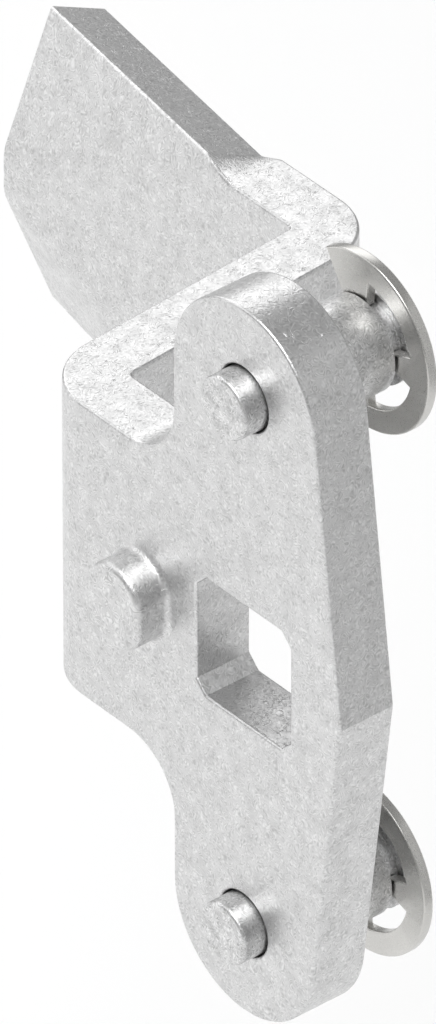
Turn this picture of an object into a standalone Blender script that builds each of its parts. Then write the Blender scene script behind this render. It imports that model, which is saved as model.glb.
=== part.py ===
"""Gravity gate latch: a bent plate lever with two stepped pivot pins, their retaining rings and a stop stud.

+X runs along the front flange away from the blade, +Y runs from the front flange back to the blade, and +Z is
up. The origin is the centre of the square hole, on the front face of the front flange. The latch is its own
mirror image above and below z = 0.
"""

from math import acos, atan2, cos, hypot, inf, pi, radians, sin, tau

import bmesh
import bpy
from mathutils import Vector

MM = 0.001

# Plate: a flat strip of one thickness, bent twice into a Z, with the two outer corners of its blade bent back.
PLATE_THICKNESS = 6.35 * MM
STRIP_HALF_HEIGHT = 16.2 * MM
BEND_INNER_RADIUS = 0.6 * MM
FLANGE_BEND_START_X = -22.7 * MM
WEB_ANGLE = radians(85.75)
WEB_LENGTH = 25.4 * MM
BLADE_END_X = -72.85 * MM
WING_BEND_ANGLE = radians(23.7)
WING_LINE_SLOPE = radians(26.4)
Z_BEND_FACETS = 10
WING_BEND_FACETS = 5

# Front flange: two round lugs joined to a blunt point.
PIN_HEIGHT = 29.0 * MM
LUG_RADIUS = 9.7 * MM
LUG_ROOT_RADIUS = 6.35 * MM
FLANGE_POINT_X = 13.4 * MM
SQUARE_HOLE_WIDTH = 13.0 * MM
SQUARE_HOLE_CHAMFER = 1.3 * MM
PIN_HOLE_RADIUS = 3.34 * MM

# Pins: a thin end in the plate, a thick journal behind it, and a groove for the ring near the rear end.
PIN_TAIL_RADIUS = 3.15 * MM
PIN_TAIL_LENGTH_IN_FRONT = 2.4 * MM
PIN_EDGE = 0.35 * MM
JOURNAL_RADIUS = 4.8 * MM
JOURNAL_GAP = 0.2 * MM
GROOVE_RADIUS = 3.85 * MM
GROOVE_START_Y = 13.65 * MM
GROOVE_WIDTH = 1.4 * MM
PIN_REAR_Y = 16.3 * MM

# Retaining rings: an open ring with one prong opposite its mouth and one at each side of it.
RING_THICKNESS = 1.1 * MM
RING_OUTER_RADIUS = 9.05 * MM
RING_SLOT_RADIUS = 6.62 * MM
RING_BORE_RADIUS = 4.0 * MM
RING_MOUTH_ROOT_RADIUS = 4.9 * MM
MIDDLE_PRONG_ROOT_HALF = radians(14)
MIDDLE_PRONG_TIP_HALF = radians(11)
SIDE_PRONG_START = radians(83.3)
SIDE_PRONG_END = radians(115)
MOUTH_ROOT = radians(126.3)
MOUTH_RIM = radians(124.1)

# Stop stud on the front flange.
STUD_X = -14.1 * MM
STUD_RADIUS = 3.65 * MM
STUD_STRAIGHT = 1.6 * MM
STUD_HEIGHT = 3.5 * MM
STUD_EDGE_RADIUS = 0.64 * MM
STUD_GAP = 0.2 * MM
STUD_FOOT = 0.1 * MM
STUD_FILLET_STEPS = 3

ARC_STEP = radians(7.5)


def clear_scene():
    for leftover in list(bpy.data.objects):
        bpy.data.objects.remove(leftover, do_unlink=True)


def make_material(name, colour, roughness):
    material = bpy.data.materials.new(name)
    material.use_nodes = True
    shader = material.node_tree.nodes["Principled BSDF"]
    shader.inputs["Base Color"].default_value = (*colour, 1.0)
    shader.inputs["Metallic"].default_value = 1.0
    shader.inputs["Roughness"].default_value = roughness
    return material


def add_object(name, bm, material, parent=None, place=(0.0, 0.0, 0.0)):
    """Makes an object of the bmesh, whose points are relative to place."""
    bmesh.ops.recalc_face_normals(bm, faces=bm.faces)
    mesh = bpy.data.meshes.new(name)
    bm.to_mesh(mesh)
    bm.free()
    mesh.shade_smooth()
    mesh.set_sharp_from_angle(angle=radians(35))
    mesh.materials.append(material)
    piece = bpy.data.objects.new(name, mesh)
    bpy.context.scene.collection.objects.link(piece)
    piece.location = place
    piece.parent = parent
    return piece


def arc(centre, radius, start, end):
    """Points (x, z) on an arc, both ends included, about ARC_STEP apart."""
    steps = max(1, round(abs(end - start) / ARC_STEP))
    angles = [start + (end - start) * step / steps for step in range(steps + 1)]
    return [(centre[0] + radius * cos(a), centre[1] + radius * sin(a)) for a in angles]


def mirrored(points):
    """The points below z = 0 that match these above it, in the order that carries the outline on."""
    return [(x, -z) for x, z in reversed(points)]


# ---------------------------------------------------------------- latch plate

BEND_MIDDLE_RADIUS = BEND_INNER_RADIUS + PLATE_THICKNESS / 2
SECOND_BEND_START = -FLANGE_BEND_START_X + WEB_ANGLE * BEND_MIDDLE_RADIUS + WEB_LENGTH
STRIP_BENDS = [(-FLANGE_BEND_START_X, WEB_ANGLE), (SECOND_BEND_START, -WEB_ANGLE)]
BLADE_START = SECOND_BEND_START + WEB_ANGLE * BEND_MIDDLE_RADIUS


def follow_bends(distance, bends):
    """Follows the plate's middle surface for distance, through bends given as (start, angle).

    Returns how far it gets forward and sideways, and its heading there.
    """
    forward = sideways = heading = travelled = 0.0
    for start, angle in [*bends, (inf, 0.0)]:
        flat = min(distance, start) - travelled
        forward += flat * cos(heading)
        sideways += flat * sin(heading)
        if distance <= start:
            break
        turn = min((distance - start) / BEND_MIDDLE_RADIUS, abs(angle))
        side = 1 if angle > 0 else -1
        turned = heading + side * turn
        forward += side * BEND_MIDDLE_RADIUS * (sin(turned) - sin(heading))
        sideways += side * BEND_MIDDLE_RADIUS * (cos(heading) - cos(turned))
        heading = turned
        travelled = start + turn * BEND_MIDDLE_RADIUS
    return forward, sideways, heading


BLADE_START_X = -follow_bends(BLADE_START, STRIP_BENDS)[0]
FLAT_END = BLADE_START + BLADE_START_X - BLADE_END_X


def bend_strip(flat):
    """Takes a point of the flat plate, (x, depth, z), through the two bends of the Z."""
    forward, sideways, heading = follow_bends(-flat.x, STRIP_BENDS)
    from_middle = flat.y - PLATE_THICKNESS / 2
    x = -forward + from_middle * sin(heading)
    y = PLATE_THICKNESS / 2 + sideways + from_middle * cos(heading)
    return Vector((x, y, flat.z))


BLADE_FRONT_Y = bend_strip(Vector((-FLAT_END, 0.0, 0.0))).y


def bend_wing(point):
    """Takes a point of the blade through the bend of the wing on its side of z = 0."""
    side = 1 if point.z >= 0 else -1
    from_corner = Vector((point.x - BLADE_END_X, abs(point.z)))
    along_line = Vector((cos(WING_LINE_SLOPE), sin(WING_LINE_SLOPE)))
    off_line = Vector((-along_line.y, along_line.x))
    forward, sideways, heading = follow_bends(from_corner.dot(off_line), [(0.0, WING_BEND_ANGLE)])
    from_middle = point.y - BLADE_FRONT_Y - PLATE_THICKNESS / 2
    forward -= from_middle * sin(heading)
    place = along_line * from_corner.dot(along_line) + off_line * forward
    y = BLADE_FRONT_Y + PLATE_THICKNESS / 2 + sideways + from_middle * cos(heading)
    return Vector((BLADE_END_X + place.x, y, side * place.y))


def fold(flat):
    """Takes a point of the flat plate, (x, depth, z), to its place in the finished latch."""
    bent = bend_strip(flat)
    return bend_wing(bent) if -flat.x > BLADE_START else bent


def plate_outline():
    """The flat plate's outline, from the middle of its right edge up, round the left end and back below."""
    to_point = hypot(FLANGE_POINT_X, PIN_HEIGHT)
    tangent = acos(LUG_RADIUS / to_point) - atan2(PIN_HEIGHT, FLANGE_POINT_X)
    lug = arc((0.0, PIN_HEIGHT), LUG_RADIUS, tangent, pi)
    root_centre = (-LUG_RADIUS - LUG_ROOT_RADIUS, STRIP_HALF_HEIGHT + LUG_ROOT_RADIUS)
    root = arc(root_centre, LUG_ROOT_RADIUS, 0.0, -pi / 2)
    upper = lug + root + [(-FLAT_END, STRIP_HALF_HEIGHT)]
    return [(FLANGE_POINT_X, 0.0), *upper, *mirrored(upper)]


def square_hole():
    half = SQUARE_HOLE_WIDTH / 2
    short = half - SQUARE_HOLE_CHAMFER
    corner = [(half, short), (short, half)]
    upper = corner + [(-x, z) for x, z in reversed(corner)]
    return upper + mirrored(upper)


def round_hole(centre_z):
    return arc((0.0, centre_z), PIN_HOLE_RADIUS, 0.0, tau)[:-1]


def cut_sheet(bm, place, normal, inside):
    """Adds an edge across every face whose middle is inside, where the plane through place crosses it."""
    faces = [face for face in bm.faces if inside(face.calc_center_median())]
    edges = {edge for face in faces for edge in face.edges}
    corners = {corner for face in faces for corner in face.verts}
    bmesh.ops.bisect_plane(
        bm, geom=[*faces, *edges, *corners], dist=1e-7, plane_co=place, plane_no=normal
    )


def cut_bend(bm, place, normal, angle, facets, inside):
    """Divides a bend that starts at place and runs along normal into flat facets."""
    length = angle * BEND_MIDDLE_RADIUS
    for step in range(facets + 1):
        cut_sheet(bm, place + normal * (length * step / facets), normal, inside)


def flat_sheet():
    """The plate's flat pattern at depth 0, divided where it will bend."""
    bm = bmesh.new()
    outlines = [plate_outline(), square_hole(), round_hole(PIN_HEIGHT), round_hole(-PIN_HEIGHT)]
    for outline in outlines:
        corners = [bm.verts.new((x, 0.0, z)) for x, z in outline]
        for first, second in zip(corners, corners[1:] + corners[:1]):
            bm.edges.new((first, second))
    bmesh.ops.triangle_fill(bm, edges=bm.edges[:], use_beauty=True)
    for start, angle in STRIP_BENDS:
        place = Vector((-start, 0.0, 0.0))
        cut_bend(bm, place, Vector((-1.0, 0.0, 0.0)), abs(angle), Z_BEND_FACETS, lambda _: True)
    blade_end = Vector((-FLAT_END, 0.0, 0.0))
    cut_sheet(bm, blade_end, Vector((0.0, 0.0, 1.0)), lambda middle: -middle.x > BLADE_START)
    for side in (1, -1):
        off_line = Vector((-sin(WING_LINE_SLOPE), 0.0, side * cos(WING_LINE_SLOPE)))
        cut_bend(
            bm,
            blade_end,
            off_line,
            WING_BEND_ANGLE,
            WING_BEND_FACETS,
            lambda middle, side=side: -middle.x > BLADE_START and middle.z * side > 0,
        )
    return bm


def thicken(bm, depth):
    """Gives a flat sheet in the XZ plane a depth along +Y."""
    made = bmesh.ops.extrude_face_region(bm, geom=bm.faces[:])["geom"]
    moved = [item for item in made if isinstance(item, bmesh.types.BMVert)]
    bmesh.ops.translate(bm, vec=(0.0, depth, 0.0), verts=moved)


def make_plate(material):
    bm = flat_sheet()
    thicken(bm, PLATE_THICKNESS)
    for corner in bm.verts:
        corner.co = fold(corner.co)
    bmesh.ops.dissolve_limit(bm, angle_limit=radians(0.2), verts=bm.verts, edges=bm.edges)
    return add_object("latch_plate", bm, material)


# ------------------------------------------------- pins, rings and stop stud


def turned_piece(profile):
    """A solid of revolution about Y, from (radius, y) points that start and end off the axis."""
    bm = bmesh.new()
    steps = round(tau / ARC_STEP)
    rings = []
    for radius, y in profile:
        circle = arc((0.0, 0.0), radius, 0.0, tau)[:-1]
        rings.append([bm.verts.new((x, y, z)) for x, z in circle])
    for near, far in zip(rings, rings[1:]):
        for step in range(steps):
            bm.faces.new((near[step - 1], near[step], far[step], far[step - 1]))
    bm.faces.new(rings[0])
    bm.faces.new(rings[-1])
    return bm


def make_pin(name, material, parent):
    front = -PIN_TAIL_LENGTH_IN_FRONT
    journal_front = PLATE_THICKNESS + JOURNAL_GAP
    groove_end = GROOVE_START_Y + GROOVE_WIDTH
    profile = [
        (PIN_TAIL_RADIUS - PIN_EDGE, front),
        (PIN_TAIL_RADIUS, front + PIN_EDGE),
        (PIN_TAIL_RADIUS, journal_front),
        (JOURNAL_RADIUS, journal_front),
        (JOURNAL_RADIUS, GROOVE_START_Y),
        (GROOVE_RADIUS, GROOVE_START_Y),
        (GROOVE_RADIUS, groove_end),
        (JOURNAL_RADIUS, groove_end),
        (JOURNAL_RADIUS, PIN_REAR_Y - PIN_EDGE),
        (JOURNAL_RADIUS - PIN_EDGE, PIN_REAR_Y),
    ]
    return add_object(name, turned_piece(profile), material, parent)


def ring_outline():
    """An E-type ring's outline: round the rim, then in at the mouth and along the three prongs."""
    centre = (0.0, 0.0)
    rim = arc(centre, RING_OUTER_RADIUS, 0.0, MOUTH_RIM)
    mouth_root = (RING_MOUTH_ROOT_RADIUS * cos(MOUTH_ROOT), RING_MOUTH_ROOT_RADIUS * sin(MOUTH_ROOT))
    side_prong = arc(centre, RING_BORE_RADIUS, SIDE_PRONG_END, SIDE_PRONG_START)
    slot = arc(centre, RING_SLOT_RADIUS, SIDE_PRONG_START, MIDDLE_PRONG_ROOT_HALF)
    middle_prong = arc(centre, RING_BORE_RADIUS, MIDDLE_PRONG_TIP_HALF, 0.0)
    upper = [*rim, mouth_root, *side_prong, *slot, *middle_prong]
    return upper + mirrored(upper)[1:-1]


def make_ring(name, material, parent):
    bm = bmesh.new()
    bm.faces.new([bm.verts.new((x, 0.0, z)) for x, z in ring_outline()])
    thicken(bm, RING_THICKNESS)
    y = GROOVE_START_Y + (GROOVE_WIDTH - RING_THICKNESS) / 2
    return add_object(name, bm, material, parent, (0.0, y, 0.0))


def make_stud(material):
    """An upright obround stud with a rounded front edge, and a matching fillet at its foot."""
    bm = bmesh.new()
    sections = [(STUD_RADIUS + STUD_EDGE_RADIUS, -STUD_GAP)]
    foot_front = -STUD_GAP - STUD_FOOT
    quarter = [pi / 2 * step / STUD_FILLET_STEPS for step in range(STUD_FILLET_STEPS + 1)]
    for angle in quarter:
        radius = STUD_RADIUS + STUD_EDGE_RADIUS * (1 - sin(angle))
        sections.append((radius, foot_front - STUD_EDGE_RADIUS * (1 - cos(angle))))
    for angle in quarter:
        radius = STUD_RADIUS - STUD_EDGE_RADIUS * (1 - cos(angle))
        sections.append((radius, -STUD_HEIGHT + STUD_EDGE_RADIUS * (1 - sin(angle))))
    rings = []
    for radius, y in sections:
        top = arc((STUD_X, STUD_STRAIGHT / 2), radius, 0.0, pi)
        rings.append([bm.verts.new((x, y, z)) for x, z in top + mirrored(top)])
    for near, far in zip(rings, rings[1:]):
        for index in range(len(near)):
            bm.faces.new((near[index - 1], near[index], far[index], far[index - 1]))
    bm.faces.new(rings[0])
    bm.faces.new(rings[-1])
    return add_object("stop_stud", bm, material)


def main():
    clear_scene()
    zinc = make_material("zinc_plated_steel", (0.62, 0.63, 0.64), 0.42)
    spring_steel = make_material("spring_steel", (0.33, 0.32, 0.30), 0.35)
    make_plate(zinc)
    make_stud(zinc)
    for place, height in (("upper", PIN_HEIGHT), ("lower", -PIN_HEIGHT)):
        axis = bpy.data.objects.new(f"{place}_pivot_axis", None)
        axis.location.z = height
        bpy.context.scene.collection.objects.link(axis)
        make_pin(f"{place}_pivot_pin", zinc, axis)
        make_ring(f"{place}_retaining_ring", spring_steel, axis)


main()
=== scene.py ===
"""Looks of the gravity gate latch: bent plate, stop stud, pivot pins, retaining rings and the studio."""

from math import acos, atan2, cos, hypot, inf, pi, radians, sin, tan, tau

import bmesh
import bpy
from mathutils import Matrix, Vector


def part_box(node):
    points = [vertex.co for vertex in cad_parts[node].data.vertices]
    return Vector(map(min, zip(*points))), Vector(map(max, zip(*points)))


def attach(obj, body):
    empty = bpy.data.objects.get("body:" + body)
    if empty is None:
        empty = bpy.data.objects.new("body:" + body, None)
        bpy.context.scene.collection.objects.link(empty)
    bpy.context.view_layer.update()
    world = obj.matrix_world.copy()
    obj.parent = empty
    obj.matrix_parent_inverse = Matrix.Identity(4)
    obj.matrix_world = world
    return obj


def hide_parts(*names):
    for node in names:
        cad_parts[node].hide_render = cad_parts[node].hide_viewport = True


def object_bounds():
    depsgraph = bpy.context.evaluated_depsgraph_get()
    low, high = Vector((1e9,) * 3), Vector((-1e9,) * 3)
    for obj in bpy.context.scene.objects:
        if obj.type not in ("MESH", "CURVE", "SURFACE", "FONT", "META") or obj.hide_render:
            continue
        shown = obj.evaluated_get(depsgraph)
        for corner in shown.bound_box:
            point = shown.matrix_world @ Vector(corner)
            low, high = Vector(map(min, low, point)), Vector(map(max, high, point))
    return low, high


MM = 0.001

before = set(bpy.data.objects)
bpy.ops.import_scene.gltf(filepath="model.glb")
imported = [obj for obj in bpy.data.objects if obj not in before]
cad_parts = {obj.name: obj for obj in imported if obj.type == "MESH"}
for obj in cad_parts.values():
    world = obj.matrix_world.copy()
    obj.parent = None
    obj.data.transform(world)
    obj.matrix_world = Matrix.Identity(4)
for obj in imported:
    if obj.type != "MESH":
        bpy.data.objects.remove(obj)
cad_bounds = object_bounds()


def middle(node):
    """The centre of a CAD node's box."""
    low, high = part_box(node)
    return (low + high) / 2


# ------------------------------------------------------------------ sizes
# Lengths are in metres and angles in radians. +X runs along the flange, +Y back and +Z up.

PLATE_LOW, PLATE_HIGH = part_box("latch_plate")
PLATE_THICKNESS = 6.35 * MM
STRIP_HALF_HEIGHT = 16.2 * MM
BEND_INNER_RADIUS = 0.6 * MM
FLANGE_BEND_START_X = -22.7 * MM
WEB_ANGLE = radians(85.75)
WEB_LENGTH = 25.4 * MM
BLADE_END_X = -72.85 * MM
WING_BEND_ANGLE = radians(23.7)
WING_LINE_SLOPE = radians(26.4)
Z_BEND_FACETS = 28
WING_BEND_FACETS = 14

PIN_HEIGHT = middle("upper_pivot_pin").z
LUG_RADIUS = PLATE_HIGH.z - PIN_HEIGHT
LUG_ROOT_RADIUS = 6.35 * MM
FLANGE_POINT_X = PLATE_HIGH.x
SQUARE_HOLE_WIDTH = 13.0 * MM
SQUARE_HOLE_CHAMFER = 1.3 * MM
PIN_HOLE_RADIUS = 3.34 * MM
PLATE_EDGE_RADIUS = 0.3 * MM
EDGE_FACETS = 8

PIN_LOW, PIN_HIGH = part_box("upper_pivot_pin")
PIN_TAIL_RADIUS = 3.15 * MM
JOURNAL_RADIUS = (PIN_HIGH.x - PIN_LOW.x) / 2
JOURNAL_GAP = 0.2 * MM
GROOVE_RADIUS = 3.85 * MM
GROOVE_START_Y = 13.65 * MM
GROOVE_WIDTH = 1.4 * MM
PIN_EDGE_RADIUS = 0.35 * MM
PIN_CORNER_RADIUS = 0.12 * MM

RING_LOW, RING_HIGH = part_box("upper_retaining_ring")
RING_THICKNESS = RING_HIGH.y - RING_LOW.y
RING_OUTER_RADIUS = RING_HIGH.x
RING_SLOT_RADIUS = 6.62 * MM
RING_BORE_RADIUS = 4.0 * MM
RING_MOUTH_ROOT_RADIUS = 4.9 * MM
MIDDLE_PRONG_ROOT_HALF = radians(14)
MIDDLE_PRONG_TIP_HALF = radians(11)
SIDE_PRONG_START = radians(83.3)
SIDE_PRONG_END = radians(115)
MOUTH_ROOT = radians(126.3)
MOUTH_RIM = radians(124.1)
RING_EDGE_RADIUS = 0.2 * MM

STUD_LOW, STUD_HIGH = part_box("stop_stud")
STUD_X = middle("stop_stud").x
STUD_RADIUS = 3.65 * MM
STUD_STRAIGHT = 1.6 * MM
STUD_EDGE_RADIUS = 0.64 * MM
STUD_SUNK = 0.3 * MM

FINE_ARC_STEP = radians(3)
SHARP_ANGLE = radians(12.5)
CUT_TOLERANCE = 1e-7


# ------------------------------------------------------- outlines and solids


def arc(centre, radius, start, end):
    """Points (x, z) on an arc, both ends included."""
    steps = max(1, round(abs(end - start) / FINE_ARC_STEP))
    angles = [start + (end - start) * step / steps for step in range(steps + 1)]
    return [Vector((centre[0] + radius * cos(a), centre[1] + radius * sin(a))) for a in angles]


def mirrored(points):
    """The points below z = 0 that match these above it, in the order that carries the outline on."""
    return [Vector((point.x, -point.y)) for point in reversed(points)]


def rounded_corner(before, corner, after, radius):
    """The arc that rounds a corner between two straight runs."""
    back, ahead = (before - corner).normalized(), (after - corner).normalized()
    half = acos(max(-1.0, min(1.0, back.dot(ahead)))) / 2
    centre = corner + (back + ahead).normalized() * (radius / sin(half))
    start = corner + back * (radius / tan(half)) - centre
    end = corner + ahead * (radius / tan(half)) - centre
    sweep = start.angle_signed(end)
    steps = max(2, round(abs(sweep) / (2 * FINE_ARC_STEP)))
    points = []
    for step in range(steps + 1):
        angle = atan2(start.y, start.x) - sweep * step / steps
        points.append(centre + Vector((cos(angle), sin(angle))) * radius)
    return points


def inset(outline, amount):
    """Moves a closed outline by amount towards its left-hand side, where its material is."""
    moved = []
    for index, point in enumerate(outline):
        along = (point - outline[index - 1]).normalized()
        onward = (outline[(index + 1) % len(outline)] - point).normalized()
        left, next_left = Vector((-along.y, along.x)), Vector((-onward.y, onward.x))
        moved.append(point + (left + next_left) * (amount / (1 + left.dot(next_left))))
    return moved


def edge_sections(thickness, radius):
    """(inset, depth) pairs that round both edges of a flat slab, front to back."""
    angles = [pi / 2 * step / EDGE_FACETS for step in range(EDGE_FACETS + 1)]
    front = [(radius * (1 - sin(a)), radius * (1 - cos(a))) for a in angles]
    return front + [(back, thickness - depth) for back, depth in reversed(front)]


def slab(outlines, thickness, edge_radius):
    """A flat solid in the XZ plane with rounded edges. Each outline has its material on its left."""
    bm = bmesh.new()
    front_edges, back_edges = [], []
    for outline in outlines:
        loops = []
        for amount, depth in edge_sections(thickness, edge_radius):
            loops.append([bm.verts.new((p.x, depth, p.y)) for p in inset(outline, amount)])
        for near, far in zip(loops, loops[1:]):
            for index in range(len(near)):
                bm.faces.new((near[index - 1], near[index], far[index], far[index - 1]))
        for loop, edges in ((loops[0], front_edges), (loops[-1], back_edges)):
            edges += [bm.edges.get((loop[index - 1], loop[index])) for index in range(len(loop))]
    for edges in (front_edges, back_edges):
        bmesh.ops.triangle_fill(bm, edges=edges, use_beauty=True)
    bmesh.ops.recalc_face_normals(bm, faces=bm.faces)
    return bm


def add_piece(name, bm, material, body, replaced):
    """Makes a shown piece of the bmesh that stands for a CAD node and rides on its body."""
    mesh = bpy.data.meshes.new(name)
    bm.to_mesh(mesh)
    bm.free()
    mesh.shade_smooth()
    mesh.set_sharp_from_angle(angle=SHARP_ANGLE)
    mesh.materials.append(material)
    piece = bpy.data.objects.new(name, mesh)
    bpy.context.scene.collection.objects.link(piece)
    weighted = piece.modifiers.new("even_normals", "WEIGHTED_NORMAL")
    weighted.keep_sharp = True
    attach(piece, body)
    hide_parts(replaced)
    return piece


# ------------------------------------------------------------- latch plate

BEND_MIDDLE_RADIUS = BEND_INNER_RADIUS + PLATE_THICKNESS / 2
SECOND_BEND_START = -FLANGE_BEND_START_X + WEB_ANGLE * BEND_MIDDLE_RADIUS + WEB_LENGTH
STRIP_BENDS = [(-FLANGE_BEND_START_X, WEB_ANGLE), (SECOND_BEND_START, -WEB_ANGLE)]
BLADE_START = SECOND_BEND_START + WEB_ANGLE * BEND_MIDDLE_RADIUS


def follow_bends(distance, bends):
    """Follows the plate's middle surface for distance, through bends given as (start, angle).

    Returns how far it gets forward and sideways, and its heading there.
    """
    forward = sideways = heading = travelled = 0.0
    for start, angle in [*bends, (inf, 0.0)]:
        flat = min(distance, start) - travelled
        forward += flat * cos(heading)
        sideways += flat * sin(heading)
        if distance <= start:
            break
        turn = min((distance - start) / BEND_MIDDLE_RADIUS, abs(angle))
        side = 1 if angle > 0 else -1
        turned = heading + side * turn
        forward += side * BEND_MIDDLE_RADIUS * (sin(turned) - sin(heading))
        sideways += side * BEND_MIDDLE_RADIUS * (cos(heading) - cos(turned))
        heading = turned
        travelled = start + turn * BEND_MIDDLE_RADIUS
    return forward, sideways, heading


BLADE_START_X = -follow_bends(BLADE_START, STRIP_BENDS)[0]
FLAT_END = BLADE_START + BLADE_START_X - BLADE_END_X


def bend_strip(flat):
    """Takes a point of the flat plate, (x, depth, z), through the two bends of the Z."""
    forward, sideways, heading = follow_bends(-flat.x, STRIP_BENDS)
    from_middle = flat.y - PLATE_THICKNESS / 2
    x = -forward + from_middle * sin(heading)
    y = PLATE_THICKNESS / 2 + sideways + from_middle * cos(heading)
    return Vector((x, y, flat.z))


BLADE_FRONT_Y = bend_strip(Vector((-FLAT_END, 0.0, 0.0))).y


def bend_wing(point):
    """Takes a point of the blade through the bend of the wing on its side of z = 0."""
    side = 1 if point.z >= 0 else -1
    from_corner = Vector((point.x - BLADE_END_X, abs(point.z)))
    along_line = Vector((cos(WING_LINE_SLOPE), sin(WING_LINE_SLOPE)))
    off_line = Vector((-along_line.y, along_line.x))
    forward, sideways, heading = follow_bends(from_corner.dot(off_line), [(0.0, WING_BEND_ANGLE)])
    from_middle = point.y - BLADE_FRONT_Y - PLATE_THICKNESS / 2
    forward -= from_middle * sin(heading)
    place = along_line * from_corner.dot(along_line) + off_line * forward
    y = BLADE_FRONT_Y + PLATE_THICKNESS / 2 + sideways + from_middle * cos(heading)
    return Vector((BLADE_END_X + place.x, y, side * place.y))


def fold(flat):
    """Takes a point of the flat plate, (x, depth, z), to its place in the finished latch."""
    bent = bend_strip(flat)
    return bend_wing(bent) if -flat.x > BLADE_START else bent


def plate_outline():
    """The flat plate's outline, from the middle of its right edge up, round the left end and back below."""
    to_point = hypot(FLANGE_POINT_X, PIN_HEIGHT)
    tangent = acos(LUG_RADIUS / to_point) - atan2(PIN_HEIGHT, FLANGE_POINT_X)
    lug = arc((0.0, PIN_HEIGHT), LUG_RADIUS, tangent, pi)
    root_centre = (-LUG_RADIUS - LUG_ROOT_RADIUS, STRIP_HALF_HEIGHT + LUG_ROOT_RADIUS)
    root = arc(root_centre, LUG_ROOT_RADIUS, 0.0, -pi / 2)
    upper = lug + root + [Vector((-FLAT_END, STRIP_HALF_HEIGHT))]
    return [Vector((FLANGE_POINT_X, 0.0)), *upper, *mirrored(upper)]


def square_hole():
    """The chamfered square hole, clockwise."""
    half = SQUARE_HOLE_WIDTH / 2
    short = half - SQUARE_HOLE_CHAMFER
    corner = [Vector((-half, short)), Vector((-short, half))]
    upper = corner + [Vector((-point.x, point.y)) for point in reversed(corner)]
    return upper + mirrored(upper)


def round_hole(centre_z):
    """A pin hole, clockwise."""
    return arc((0.0, centre_z), PIN_HOLE_RADIUS, tau, 0.0)[:-1]


def cut_solid(bm, place, normal, inside):
    """Adds an edge across every face whose middle is inside, where the plane through place crosses it."""
    faces = [face for face in bm.faces if inside(face.calc_center_median())]
    edges = {edge for face in faces for edge in face.edges}
    corners = {corner for face in faces for corner in face.verts}
    bmesh.ops.bisect_plane(
        bm,
        geom=[*faces, *edges, *corners],
        dist=CUT_TOLERANCE,
        plane_co=place,
        plane_no=normal,
    )


def cut_bend(bm, place, normal, angle, facets, inside):
    """Divides a bend that starts at place and runs along normal into flat facets."""
    length = angle * BEND_MIDDLE_RADIUS
    for step in range(facets + 1):
        cut_solid(bm, place + normal * (length * step / facets), normal, inside)


def make_plate(material):
    """The lever's plate: cut flat with its holes, divided along every bend line, then folded."""
    outlines = [plate_outline(), square_hole(), round_hole(PIN_HEIGHT), round_hole(-PIN_HEIGHT)]
    bm = slab(outlines, PLATE_THICKNESS, PLATE_EDGE_RADIUS)
    for start, angle in STRIP_BENDS:
        place = Vector((-start, 0.0, 0.0))
        cut_bend(bm, place, Vector((-1.0, 0.0, 0.0)), abs(angle), Z_BEND_FACETS, lambda _: True)
    # The two wings' bend lines start where the blade's end crosses its middle line.
    blade_end = Vector((-FLAT_END, 0.0, 0.0))
    cut_solid(bm, blade_end, Vector((0.0, 0.0, 1.0)), lambda spot: -spot.x > BLADE_START)
    for side in (1, -1):
        off_line = Vector((-sin(WING_LINE_SLOPE), 0.0, side * cos(WING_LINE_SLOPE)))
        cut_bend(
            bm,
            blade_end,
            off_line,
            WING_BEND_ANGLE,
            WING_BEND_FACETS,
            lambda spot, side=side: -spot.x > BLADE_START and spot.z * side > 0,
        )
    for corner in bm.verts:
        corner.co = fold(corner.co)
    return add_piece("bent_latch_plate", bm, material, "lever", "latch_plate")


# ------------------------------------------------- pins, rings and stop stud


def turned_profile(corners):
    """Rounds each (radius, y, rounding) corner of a turned profile and returns its (radius, y) points."""
    spots = [Vector(corner[:2]) for corner in corners]
    points = [spots[0]]
    for before, spot, after, corner in zip(spots, spots[1:], spots[2:], corners[1:]):
        points += rounded_corner(before, spot, after, corner[2]) if corner[2] else [spot]
    return points + [spots[-1]]


def turned_piece(profile, centre_z):
    """A solid of revolution about the line along Y at centre_z; the profile starts and ends on the axis."""
    bm = bmesh.new()
    steps = round(tau / FINE_ARC_STEP)
    rings = []
    for point in profile[1:-1]:
        circle = arc((0.0, centre_z), point.x, 0.0, tau)[:-1]
        rings.append([bm.verts.new((p.x, point.y, p.y)) for p in circle])
    for near, far in zip(rings, rings[1:]):
        for step in range(steps):
            bm.faces.new((near[step - 1], near[step], far[step], far[step - 1]))
    for ring, point in ((rings[0], profile[0]), (rings[-1], profile[-1])):
        tip = bm.verts.new((0.0, point.y, centre_z))
        for step in range(steps):
            bm.faces.new((ring[step - 1], ring[step], tip))
    bmesh.ops.recalc_face_normals(bm, faces=bm.faces)
    return bm


def make_pin(place, centre_z, material):
    """A stepped pin: a thin end through the plate, a thicker journal behind it and a ring groove."""
    journal_front = PLATE_THICKNESS + JOURNAL_GAP
    groove_end = GROOVE_START_Y + GROOVE_WIDTH
    corners = [
        (0.0, PIN_LOW.y, 0.0),
        (PIN_TAIL_RADIUS, PIN_LOW.y, PIN_EDGE_RADIUS),
        (PIN_TAIL_RADIUS, journal_front, PIN_CORNER_RADIUS),
        (JOURNAL_RADIUS, journal_front, PIN_CORNER_RADIUS),
        (JOURNAL_RADIUS, GROOVE_START_Y, PIN_CORNER_RADIUS),
        (GROOVE_RADIUS, GROOVE_START_Y, PIN_CORNER_RADIUS),
        (GROOVE_RADIUS, groove_end, PIN_CORNER_RADIUS),
        (JOURNAL_RADIUS, groove_end, PIN_CORNER_RADIUS),
        (JOURNAL_RADIUS, PIN_HIGH.y, PIN_EDGE_RADIUS),
        (0.0, PIN_HIGH.y, 0.0),
    ]
    bm = turned_piece(turned_profile(corners), centre_z)
    node = f"{place}_pivot_pin"
    return add_piece(f"turned_{node}", bm, material, f"{place}_pin", node)


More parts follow.
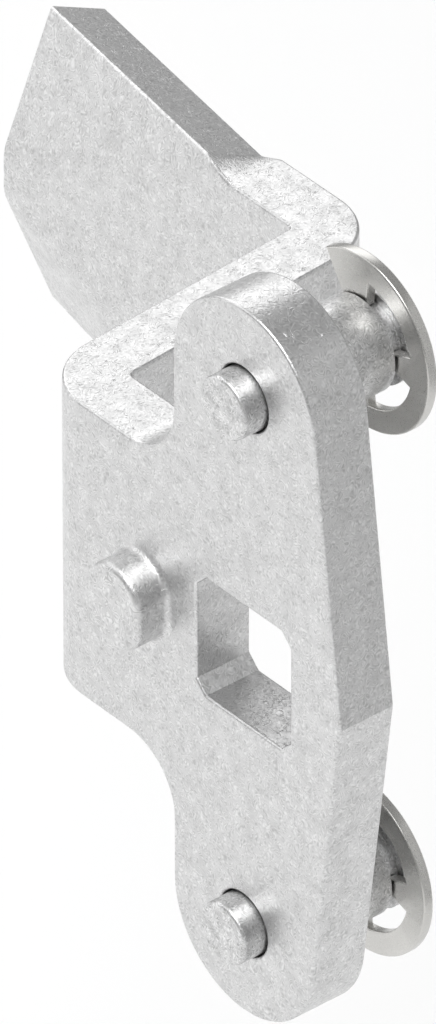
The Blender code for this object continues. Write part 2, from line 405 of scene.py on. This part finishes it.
def ring_outline():
    """An E-type ring's outline: round the rim, then in at the mouth and along the three prongs."""
    centre = (0.0, 0.0)
    rim = arc(centre, RING_OUTER_RADIUS, 0.0, MOUTH_RIM)
    mouth_root = Vector((cos(MOUTH_ROOT), sin(MOUTH_ROOT))) * RING_MOUTH_ROOT_RADIUS
    side_prong = arc(centre, RING_BORE_RADIUS, SIDE_PRONG_END, SIDE_PRONG_START)
    slot = arc(centre, RING_SLOT_RADIUS, SIDE_PRONG_START, MIDDLE_PRONG_ROOT_HALF)
    middle_prong = arc(centre, RING_BORE_RADIUS, MIDDLE_PRONG_TIP_HALF, 0.0)
    upper = [*rim, mouth_root, *side_prong, *slot, *middle_prong]
    return upper + mirrored(upper)[1:-1]


def make_ring(place, centre_z, material):
    """A retaining ring, pressed from strip, that sits in its pin's groove."""
    bm = slab([ring_outline()], RING_THICKNESS, RING_EDGE_RADIUS)
    bmesh.ops.translate(bm, vec=(0.0, RING_LOW.y, centre_z), verts=bm.verts)
    node = f"{place}_retaining_ring"
    return add_piece(f"pressed_{node}", bm, material, f"{place}_ring", node)


def make_stud(material):
    """An upright obround stud with a rounded front edge, and a matching fillet into the plate."""
    quarter = [pi / 2 * step / EDGE_FACETS for step in range(EDGE_FACETS + 1)]
    sections = [(STUD_EDGE_RADIUS, STUD_SUNK)]
    sections += [(STUD_EDGE_RADIUS * (1 - sin(a)), -STUD_EDGE_RADIUS * (1 - cos(a))) for a in quarter]
    front = STUD_LOW.y + STUD_EDGE_RADIUS
    sections += [(-STUD_EDGE_RADIUS * (1 - cos(a)), front - STUD_EDGE_RADIUS * sin(a)) for a in quarter]
    bm = bmesh.new()
    loops = []
    for growth, y in sections:
        top = arc((STUD_X, STUD_STRAIGHT / 2), STUD_RADIUS + growth, 0.0, pi)
        loops.append([bm.verts.new((p.x, y, p.y)) for p in top + mirrored(top)])
    for near, far in zip(loops, loops[1:]):
        for index in range(len(near)):
            bm.faces.new((near[index - 1], near[index], far[index], far[index - 1]))
    bm.faces.new(loops[0])
    bm.faces.new(loops[-1])
    bmesh.ops.recalc_face_normals(bm, faces=bm.faces)
    return add_piece("welded_stop_stud", bm, material, "lever", "stop_stud")


# ---------------------------------------------------------------- materials


def linear(hex_colour):
    """Turns an sRGB hex colour into linear RGBA."""
    channels = [int(hex_colour[start : start + 2], 16) / 255 for start in (1, 3, 5)]
    return (*[c / 12.92 if c <= 0.04045 else ((c + 0.055) / 1.055) ** 2.4 for c in channels], 1.0)


def add_node(tree, kind, settings=None, **inputs):
    """Adds a node, sets its properties, and sets or links its inputs.

    An input goes by its name, with _ for each space, or by i and its number.
    """
    node = tree.nodes.new(kind)
    for name, value in (settings or {}).items():
        setattr(node, name, value)
    for name, value in inputs.items():
        numbered = name[0] == "i" and name[1:].isdigit()
        socket = node.inputs[int(name[1:]) if numbered else name.replace("_", " ")]
        if isinstance(value, bpy.types.NodeSocket):
            tree.links.new(value, socket)
        else:
            socket.default_value = value
    return node


def new_material(name):
    """An empty node material and its node tree."""
    material = bpy.data.materials.new(name)
    material.use_nodes = True
    material.node_tree.nodes.clear()
    return material, material.node_tree


# Molten zinc freezes in short curled ridges. A ridge lies at each RIDGE_STEP of a noise map, bends with
# RIDGE_CURL, and is cut into strokes by a second, finer map.
RIDGE_STEP = 0.12
RIDGE_CURL = 1.2
BREAK_SIZE = 0.6
BREAK_SPAN = (0.35, 0.65)
# The coat is duller where it froze slowly, by SHINE_SPREAD either way over most of a patch map's range.
PATCH_SPAN = (0.3, 0.7)
SHINE_SPREAD = 0.04


def zinc_coat(name, light, dark, roughness, stroke_mm, patch_mm, mottle, relief_mm):
    """Zinc on steel: a soft neutral grey shine, broken by short curled strokes and cloudy patches.

    mottle weighs the patches against the strokes, and relief_mm is how far they stand up together.
    """
    material, tree = new_material(name)
    place = add_node(tree, "ShaderNodeTexCoord").outputs["Object"]
    curls = add_node(
        tree,
        "ShaderNodeTexNoise",
        Vector=place,
        Scale=1 / (stroke_mm * MM),
        Detail=0.5,
        Distortion=RIDGE_CURL,
    )
    ridges = add_node(
        tree,
        "ShaderNodeMath",
        {"operation": "PINGPONG"},
        i0=curls.outputs["Fac"],
        i1=RIDGE_STEP,
    )
    centred = add_node(
        tree,
        "ShaderNodeMapRange",
        Value=ridges.outputs["Value"],
        From_Min=0.0,
        From_Max=RIDGE_STEP,
        To_Min=-0.5,
        To_Max=0.5,
    )
    breaks = add_node(
        tree, "ShaderNodeTexNoise", Vector=place, Scale=1 / (stroke_mm * BREAK_SIZE * MM), Detail=0.5
    )
    strength = add_node(
        tree,
        "ShaderNodeMapRange",
        Value=breaks.outputs["Fac"],
        From_Min=BREAK_SPAN[0],
        From_Max=BREAK_SPAN[1],
        To_Min=-1.0,
        To_Max=1.0,
    )
    strokes = add_node(
        tree,
        "ShaderNodeMath",
        {"operation": "MULTIPLY"},
        i0=centred.outputs["Result"],
        i1=strength.outputs["Result"],
    )
    patches = add_node(
        tree, "ShaderNodeTexNoise", Vector=place, Scale=1 / (patch_mm * MM), Detail=3.0, Roughness=0.5
    )
    blend = add_node(
        tree,
        "ShaderNodeMath",
        {"operation": "MULTIPLY_ADD"},
        i0=patches.outputs["Fac"],
        i1=mottle,
        i2=strokes.outputs["Value"],
    )
    tone = add_node(
        tree,
        "ShaderNodeMapRange",
        Value=blend.outputs["Value"],
        From_Min=mottle / 2 - 0.5,
        From_Max=mottle / 2 + 0.5,
    )
    colour = add_node(tree, "ShaderNodeValToRGB", Fac=tone.outputs["Result"])
    colour.color_ramp.elements[0].color = linear(dark)
    colour.color_ramp.elements[1].color = linear(light)
    shine = add_node(
        tree,
        "ShaderNodeMapRange",
        Value=patches.outputs["Fac"],
        From_Min=PATCH_SPAN[0],
        From_Max=PATCH_SPAN[1],
        To_Min=roughness + SHINE_SPREAD,
        To_Max=roughness - SHINE_SPREAD,
    )
    relief = add_node(
        tree,
        "ShaderNodeBump",
        Height=blend.outputs["Value"],
        Strength=1.0,
        Distance=relief_mm * MM,
    )
    shader = add_node(
        tree,
        "ShaderNodeBsdfPrincipled",
        Base_Color=colour.outputs["Color"],
        Metallic=1.0,
        Roughness=shine.outputs["Result"],
        Normal=relief.outputs["Normal"],
    )
    add_node(tree, "ShaderNodeOutputMaterial", Surface=shader.outputs["BSDF"])
    return material


# The grain that barrel finishing leaves is about 0.02 mm wide. It is drawn at 0.12 mm, so that it shows.
STEEL_GRAIN_MM = 0.12
STEEL_STAIN_MM = 4.0
STEEL_RELIEF_MM = 0.0002
STEEL_ROUGHNESS = (0.26, 0.3)
STEEL_TONES = ((0.35, "#C8C7C4"), (0.68, "#D1D0CD"))


def satin_spring_steel():
    """Tempered spring strip, pressed and barrel-finished: smooth, warm grey, with a faint fine grain."""
    material, tree = new_material("barrel_finished_spring_steel")
    place = add_node(tree, "ShaderNodeTexCoord").outputs["Object"]
    grain = add_node(tree, "ShaderNodeTexNoise", Vector=place, Scale=1 / (STEEL_GRAIN_MM * MM), Detail=0.0)
    stains = add_node(tree, "ShaderNodeTexNoise", Vector=place, Scale=1 / (STEEL_STAIN_MM * MM), Detail=2.0)
    tone = add_node(tree, "ShaderNodeValToRGB", Fac=stains.outputs["Fac"])
    for stop, (position, colour) in zip(tone.color_ramp.elements, STEEL_TONES):
        stop.position = position
        stop.color = linear(colour)
    shine = add_node(
        tree,
        "ShaderNodeMapRange",
        Value=grain.outputs["Fac"],
        To_Min=STEEL_ROUGHNESS[0],
        To_Max=STEEL_ROUGHNESS[1],
    )
    relief = add_node(
        tree,
        "ShaderNodeBump",
        Height=grain.outputs["Fac"],
        Strength=1.0,
        Distance=STEEL_RELIEF_MM * MM,
    )
    shader = add_node(
        tree,
        "ShaderNodeBsdfPrincipled",
        Base_Color=tone.outputs["Color"],
        Metallic=1.0,
        Roughness=shine.outputs["Result"],
        Normal=relief.outputs["Normal"],
    )
    add_node(tree, "ShaderNodeOutputMaterial", Surface=shader.outputs["BSDF"])
    return material


PAPER_ROUGHNESS = 0.9


def matt_card(name, colour):
    """Uncoated paper or card: no gloss, so it throws light back evenly."""
    material, tree = new_material(name)
    shader = add_node(
        tree,
        "ShaderNodeBsdfPrincipled",
        Base_Color=linear(colour),
        Roughness=PAPER_ROUGHNESS,
        Specular_IOR_Level=0.0,
    )
    add_node(tree, "ShaderNodeOutputMaterial", Surface=shader.outputs["BSDF"])
    return material


# ------------------------------------------------- camera, floor and lights

CAMERA_AZIMUTH = radians(50.0)
CAMERA_ELEVATION = radians(35.7)
CAMERA_LENS_MM = 700.0
CAMERA_DISTANCE = 1.777
CAMERA_TARGET = Vector((-7.5, 3.4, 11.0)) * MM
SENSOR_MM = 36.0
# The camera sees from its distance divided by this to its distance times this.
CLIP_RANGE = 100

FLOOR_DROP = 0.15
FLOOR_HALF = 4.0
FLOOR_COLOUR = "#FCFCFC"
# Each softbox has its azimuth and elevation in degrees, its distance, width and height, and its radiance.
SOFTBOXES = {
    "key_softbox": (-120, 30, 0.9, 0.6, 0.5, 1.35),
    "left_softbox": (-62, 6, 1.2, 0.8, 0.5, 1.05),
    "front_softbox": (-72, 37, 1.2, 1.5, 0.45, 1.3),
    "fill_softbox": (20, 65, 1.2, 0.9, 0.9, 4.1),
}
# The dome's radiance at the upward part of a direction, from the horizon up.
DOME_BANDS = ((0.05, 0.31), (0.5, 0.52), (0.8, 0.36))
CARD_COLOUR = "#C8C8C8"
CARD_SIDE = Vector((0.76, 0.65, 0.0))
CARD_DISTANCE = 0.3
CARD_WIDTH = 0.6
CARD_HEIGHT = 0.55


def direction(azimuth, elevation):
    """Unit vector from the object to a place at this azimuth and elevation."""
    level = cos(elevation)
    return Vector((sin(azimuth) * level, -cos(azimuth) * level, sin(elevation)))


def add_camera():
    """A long lens, which keeps parallel edges nearly parallel."""
    data = bpy.data.cameras.new("camera")
    data.lens = CAMERA_LENS_MM
    data.sensor_width = SENSOR_MM
    camera = bpy.data.objects.new("camera", data)
    bpy.context.scene.collection.objects.link(camera)
    away = direction(CAMERA_AZIMUTH, CAMERA_ELEVATION)
    camera.location = CAMERA_TARGET + away * CAMERA_DISTANCE
    camera.rotation_euler = away.to_track_quat("Z", "Y").to_euler()
    data.clip_start = CAMERA_DISTANCE / CLIP_RANGE
    data.clip_end = CAMERA_DISTANCE * CLIP_RANGE
    bpy.context.scene.camera = camera


def add_sheet(name, centre, across, up, material):
    """A flat rectangle of the stage, from its centre and its two half-width vectors."""
    bm = bmesh.new()
    corners = [centre - across - up, centre + across - up, centre + across + up, centre - across + up]
    bm.faces.new([bm.verts.new(corner) for corner in corners])
    mesh = bpy.data.meshes.new(name)
    bm.to_mesh(mesh)
    bm.free()
    mesh.materials.append(material)
    sheet = bpy.data.objects.new(name, mesh)
    bpy.context.scene.collection.objects.link(sheet)
    return sheet


def add_softbox(name, azimuth, elevation, distance, width, height, radiance):
    """An area light that faces the object."""
    data = bpy.data.lights.new(name, "AREA")
    data.shape = "RECTANGLE"
    data.size = width
    data.size_y = height
    data.energy = radiance * pi * width * height
    light = bpy.data.objects.new(name, data)
    bpy.context.scene.collection.objects.link(light)
    away = direction(radians(azimuth), radians(elevation))
    light.location = away * distance
    light.rotation_euler = away.to_track_quat("Z", "Y").to_euler()
    light.visible_camera = False


def add_world():
    """A studio dome, brightest halfway up, and plain white where the camera sees it."""
    world = bpy.data.worlds.new("studio_dome")
    bpy.context.scene.world = world
    world.use_nodes = True
    tree = world.node_tree
    tree.nodes.clear()
    ray = add_node(tree, "ShaderNodeTexCoord").outputs["Generated"]
    height = add_node(tree, "ShaderNodeSeparateXYZ", Vector=ray).outputs["Z"]
    dome = add_node(tree, "ShaderNodeValToRGB", Fac=height)
    stops = dome.color_ramp.elements
    stops.new(0.5)
    for stop, (rise, radiance) in zip(stops, DOME_BANDS):
        stop.position = rise
        stop.color = (radiance, radiance, radiance, 1.0)
    lit = add_node(tree, "ShaderNodeBackground", Color=dome.outputs["Color"], Strength=1.0)
    seen = add_node(tree, "ShaderNodeBackground", Color=(1.0, 1.0, 1.0, 1.0), Strength=1.0)
    to_camera = add_node(tree, "ShaderNodeLightPath").outputs["Is Camera Ray"]
    mixed = add_node(
        tree,
        "ShaderNodeMixShader",
        Fac=to_camera,
        i1=lit.outputs["Background"],
        i2=seen.outputs["Background"],
    )
    add_node(tree, "ShaderNodeOutputWorld", Surface=mixed.outputs["Shader"])


def add_studio():
    """A paper floor, four softboxes and the dome, and a grey card that only reflections show."""
    floor_z = cad_bounds[0].z - FLOOR_DROP
    add_sheet(
        "paper_floor",
        Vector((0.0, 0.0, floor_z)),
        Vector((FLOOR_HALF, 0.0, 0.0)),
        Vector((0.0, FLOOR_HALF, 0.0)),
        matt_card("matt_white_paper", FLOOR_COLOUR),
    )
    for name, place_and_size in SOFTBOXES.items():
        add_softbox(name, *place_and_size)
    card = add_sheet(
        "grey_flag_card",
        CARD_SIDE * CARD_DISTANCE + Vector((0.0, 0.0, floor_z + CARD_HEIGHT / 2)),
        Vector((-CARD_SIDE.y, CARD_SIDE.x, 0.0)) * CARD_WIDTH / 2,
        Vector((0.0, 0.0, CARD_HEIGHT / 2)),
        matt_card("matt_grey_card", CARD_COLOUR),
    )
    card.visible_camera = False
    card.visible_diffuse = False
    card.visible_shadow = False
    add_world()
    bpy.context.scene.view_settings.view_transform = "Standard"


# --------------------------------------------------------------------- build


def main():
    """Makes every piece, the camera and the studio."""
    # Dipped in molten zinc: an even light grey with a low sheen and faint flecks.
    plate_zinc = zinc_coat(
        "hot_dip_zinc_on_plate",
        light="#E8E8E8",
        dark="#BBBBBB",
        roughness=0.36,
        stroke_mm=0.9,
        patch_mm=1.8,
        mottle=0.7,
        relief_mm=0.018,
    )
    # Dipped with the plate, over a rougher stud: the same grey with a wider, softer highlight.
    stud_zinc = zinc_coat(
        "hot_dip_zinc_on_stud",
        light="#ECECEC",
        dark="#BEBEBE",
        roughness=0.42,
        stroke_mm=0.9,
        patch_mm=1.8,
        mottle=0.7,
        relief_mm=0.018,
    )
    # Plated over turned steel: cloudier and more uneven, with darker patches on the journals.
    pin_zinc = zinc_coat(
        "bright_zinc_on_pins",
        light="#F0F0F0",
        dark="#ACACAC",
        roughness=0.4,
        stroke_mm=0.8,
        patch_mm=1.3,
        mottle=1.1,
        relief_mm=0.012,
    )
    ring_steel = satin_spring_steel()
    make_plate(plate_zinc)
    make_stud(stud_zinc)
    for place, centre_z in (("upper", PIN_HEIGHT), ("lower", -PIN_HEIGHT)):
        make_pin(place, centre_z, pin_zinc)
        make_ring(place, centre_z, ring_steel)
    add_camera()
    add_studio()


main()
